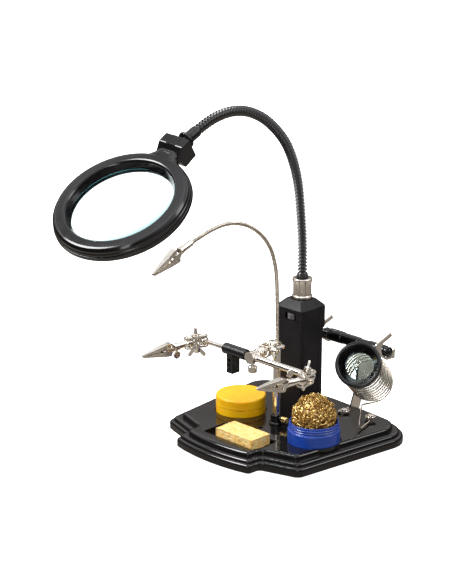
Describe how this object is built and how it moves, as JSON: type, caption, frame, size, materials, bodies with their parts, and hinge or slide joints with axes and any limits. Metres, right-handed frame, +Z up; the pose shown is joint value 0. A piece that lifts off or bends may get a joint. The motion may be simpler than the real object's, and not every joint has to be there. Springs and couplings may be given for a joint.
{
  "type": "helping hands soldering station",
  "caption": "Black cast base with a lit ring magnifier on a gooseneck, crocodile clips on a jointed cross rod and thin arm, coil iron stand, loupe, sponge and tins.",
  "frame": {"origin": "centre of the base's front-to-back working area on its resting face, under the column's centre line", "axes": "+X to the coil stand's side, +Y to the back, +Z up; the clips and sponge face -Y"},
  "size_m": [0.1976, 0.3133, 0.3084],
  "materials": {
    "enamel": "glossy black enamel",
    "plastic": "satin moulded",
    "gloss": "glossy",
    "steel": "nickel plated",
    "chrome": "polished",
    "rubber": "matte",
    "yellow": "satin",
    "blue": "glossy",
    "brass": "bright curls",
    "sponge": "porous cellulose",
    "glass": "polished",
    "led": "diffuse white"
  },
  "bodies": {
    "base": {"base_casting": "enamel", "anti_slip_pad": "rubber", "post_socket": "gloss", "housing_front": "plastic", "housing_back": "plastic", "battery_pack": "gloss", "gooseneck_ferrule": "steel", "iron_coil": "steel", "spool_bracket": "steel", "coil_screw_left": "steel", "coil_screw_right": "steel"},
    "post_thumbscrew": {"post_thumbscrew": "brass"},
    "switch": {"switch_slider": "steel"},
    "battery_cover": {"battery_cover": "plastic"},
    "lamp_lower": {"lamp_gooseneck_lower": "rubber"},
    "lamp_upper": {"lamp_gooseneck_upper": "rubber"},
    "magnifier": {"lens_frame_top": "gloss", "lens_frame_bottom": "gloss", "magnifier_lens": "glass", "led_ring": "led", "head_hinge_pin": "steel"},
    "post": {"post": "chrome"},
    "centre_clamp": {"centre_clamp_plate_a": "steel", "centre_clamp_plate_b": "steel", "centre_clamp_screw": "steel"},
    "centre_nut": {"centre_wing_nut": "steel"},
    "rod_clamp": {"rod_clamp": "steel", "rod_clamp_thumbscrew": "steel"},
    "rod": {"cross_rod": "chrome"},
    "tool_holder": {"tool_holder": "rubber"},
    "left_clamp": {"left_plate_top": "steel", "left_plate_bottom": "steel", "left_clamp_screw": "steel"},
    "left_nut": {"left_wing_nut": "steel"},
    "left_clip": {"left_clip_sleeve": "steel", "left_clip_thumbscrew": "steel", "left_lower_jaw": "steel"},
    "left_jaw": {"left_upper_jaw": "steel"},
    "right_clamp": {"right_plate_top": "steel", "right_plate_bottom": "steel", "right_clamp_screw": "steel"},
    "right_nut": {"right_wing_nut": "steel"},
    "right_clip": {"right_clip_sleeve": "steel", "right_clip_thumbscrew": "steel", "right_lower_jaw": "steel"},
    "right_jaw": {"right_upper_jaw": "steel"},
    "arm_lower": {"arm_gooseneck_lower": "chrome"},
    "arm_upper": {"arm_gooseneck_upper": "chrome", "arm_clip_sleeve": "steel", "arm_lower_jaw": "steel"},
    "arm_jaw": {"arm_upper_jaw": "steel"},
    "flux_tin": {"flux_tin_base": "yellow"},
    "flux_lid": {"flux_tin_lid": "yellow"},
    "wool_tin": {"wool_tin": "blue"},
    "brass_wool": {"brass_wool": "brass"},
    "sponge": {"sponge": "sponge"},
    "loupe": {"loupe_cup": "rubber", "loupe_lens": "glass"},
    "spool_axle": {"spool_axle": "gloss"}
  },
  "joints": [
    {"name": "post_swivel", "type": "hinge", "parent": "base", "child": "post", "pos_m": [0.0073, -0.008, 0.017], "axis": [0, 0, 1], "range_deg": [-25, 20]},
    {"name": "post_thumbscrew_turn", "type": "hinge", "parent": "base", "child": "post_thumbscrew", "pos_m": [0.0073, -0.008, 0.023], "axis": [1, 0, 0], "range_deg": [-180, 180]},
    {"name": "switch_slide", "type": "slide", "parent": "base", "child": "switch", "axis": [1, 0, 0], "range_m": [-0.0028, 0.0028]},
    {"name": "battery_cover_slide", "type": "slide", "parent": "base", "child": "battery_cover", "axis": [0, 1, 0], "range_m": [0, 0.014]},
    {"name": "lamp_swivel", "type": "hinge", "parent": "base", "child": "lamp_lower", "pos_m": [0, 0.031, 0.13], "axis": [0, 0, 1], "range_deg": [-30, 30]},
    {"name": "lamp_bend", "type": "hinge", "parent": "lamp_lower", "child": "lamp_upper", "pos_m": [0, 0.00543, 0.27039], "axis": [1, 0, 0], "range_deg": [-10, 8]},
    {"name": "magnifier_tilt", "type": "hinge", "parent": "lamp_upper", "child": "magnifier", "pos_m": [0, -0.1196, 0.2835], "axis": [0.9926, 0.0683, -0.1005], "range_deg": [-6, 22]},
    {"name": "centre_clamp_tilt", "type": "hinge", "parent": "post", "child": "centre_clamp", "pos_m": [0.0073, -0.011, 0.0906], "axis": [1, 0, 0], "range_deg": [-12, 12]},
    {"name": "centre_nut_turn", "type": "hinge", "parent": "centre_clamp", "child": "centre_nut", "pos_m": [0.0073, -0.0188, 0.0897], "axis": [1, 0, 0], "range_deg": [-180, 180]},
    {"name": "rod_clamp_tilt", "type": "hinge", "parent": "centre_clamp", "child": "rod_clamp", "pos_m": [0.0073, -0.0266, 0.0888], "axis": [1, 0, 0], "range_deg": [-12, 12]},
    {"name": "rod_slide", "type": "slide", "parent": "rod_clamp", "child": "rod", "axis": [1, 0, 0], "range_m": [-0.018, 0]},
    {"name": "tool_holder_turn", "type": "hinge", "parent": "rod", "child": "tool_holder", "pos_m": [-0.016, -0.0385, 0.087], "axis": [1, 0, 0], "range_deg": [-20, 30]},
    {"name": "left_clamp_swing", "type": "hinge", "parent": "rod", "child": "left_clamp", "pos_m": [-0.054, -0.0385, 0.087], "axis": [-0.0252, -0.0543, 0.9982], "range_deg": [-25, 25]},
    {"name": "left_nut_turn", "type": "hinge", "parent": "left_clamp", "child": "left_nut", "pos_m": [-0.0568, -0.04455, 0.0866], "axis": [-0.0252, -0.0543, 0.9982], "range_deg": [-180, 180]},
    {"name": "left_clip_swing", "type": "hinge", "parent": "left_clamp", "child": "left_clip", "pos_m": [-0.0596, -0.0506, 0.0862], "axis": [-0.0252, -0.0543, 0.9982], "range_deg": [-25, 25]},
    {"name": "left_jaw_open", "type": "hinge", "parent": "left_clip", "child": "left_jaw", "pos_m": [-0.06479, -0.07589, 0.08533], "axis": [-0.9796, 0.2009, 0], "range_deg": [0, 16], "stiffness_Nm_per_rad": 0.05, "springref_deg": -11.46},
    {"name": "right_clamp_swing", "type": "hinge", "parent": "rod", "child": "right_clamp", "pos_m": [0.0745, -0.0385, 0.087], "axis": [0.1787, 0.0832, 0.9804], "range_deg": [-25, 15]},
    {"name": "right_nut_turn", "type": "hinge", "parent": "right_clamp", "child": "right_nut", "pos_m": [0.07595, -0.04515, 0.0873], "axis": [0.1787, 0.0832, 0.9804], "range_deg": [-180, 180]},
    {"name": "right_clip_swing", "type": "hinge", "parent": "right_clamp", "child": "right_clip", "pos_m": [0.0774, -0.0518, 0.0876], "axis": [0.1787, 0.0832, 0.9804], "range_deg": [-20, 25]},
    {"name": "right_jaw_open", "type": "hinge", "parent": "right_clip", "child": "right_jaw", "pos_m": [0.07482, -0.07732, 0.09061], "axis": [-0.9949, 0.1005, 0], "range_deg": [0, 16], "stiffness_Nm_per_rad": 0.05, "springref_deg": -11.46},
    {"name": "arm_swivel", "type": "hinge", "parent": "post", "child": "arm_lower", "pos_m": [0.0073, -0.008, 0.09], "axis": [0, 0, 1], "range_deg": [-40, 20]},
    {"name": "arm_bend", "type": "hinge", "parent": "arm_lower", "child": "arm_upper", "pos_m": [0.0073, -0.02114, 0.18591], "axis": [1, 0, 0], "range_deg": [-8, 15]},
    {"name": "arm_jaw_open", "type": "hinge", "parent": "arm_upper", "child": "arm_jaw", "pos_m": [0.0073, -0.13376, 0.19626], "axis": [-1, 0, 0], "range_deg": [0, 16], "stiffness_Nm_per_rad": 0.05, "springref_deg": -11.46},
    {"name": "flux_tin_lift", "type": "slide", "parent": "base", "child": "flux_tin", "axis": [0, 0, 1], "range_m": [0, 0.04]},
    {"name": "flux_lid_turn", "type": "hinge", "parent": "flux_tin", "child": "flux_lid", "pos_m": [-0.0406, -0.0045, 0.031], "axis": [0, 0, 1], "range_deg": [-90, 90]},
    {"name": "wool_tin_lift", "type": "slide", "parent": "base", "child": "wool_tin", "axis": [0, 0, 1], "range_m": [0, 0.005]},
    {"name": "brass_wool_lift", "type": "slide", "parent": "wool_tin", "child": "brass_wool", "axis": [0, 0, 1], "range_m": [0, 0.009]},
    {"name": "sponge_lift", "type": "slide", "parent": "base", "child": "sponge", "axis": [0, 0, 1], "range_m": [0, 0.03]},
    {"name": "loupe_pull", "type": "slide", "parent": "base", "child": "loupe", "axis": [0.404, -0.7433, 0.5332], "range_m": [0, 0.05]},
    {"name": "spool_axle_lift", "type": "slide", "parent": "base", "child": "spool_axle", "axis": [0, 0.6198, 0.7848], "range_m": [0, 0.03]}
  ]
}
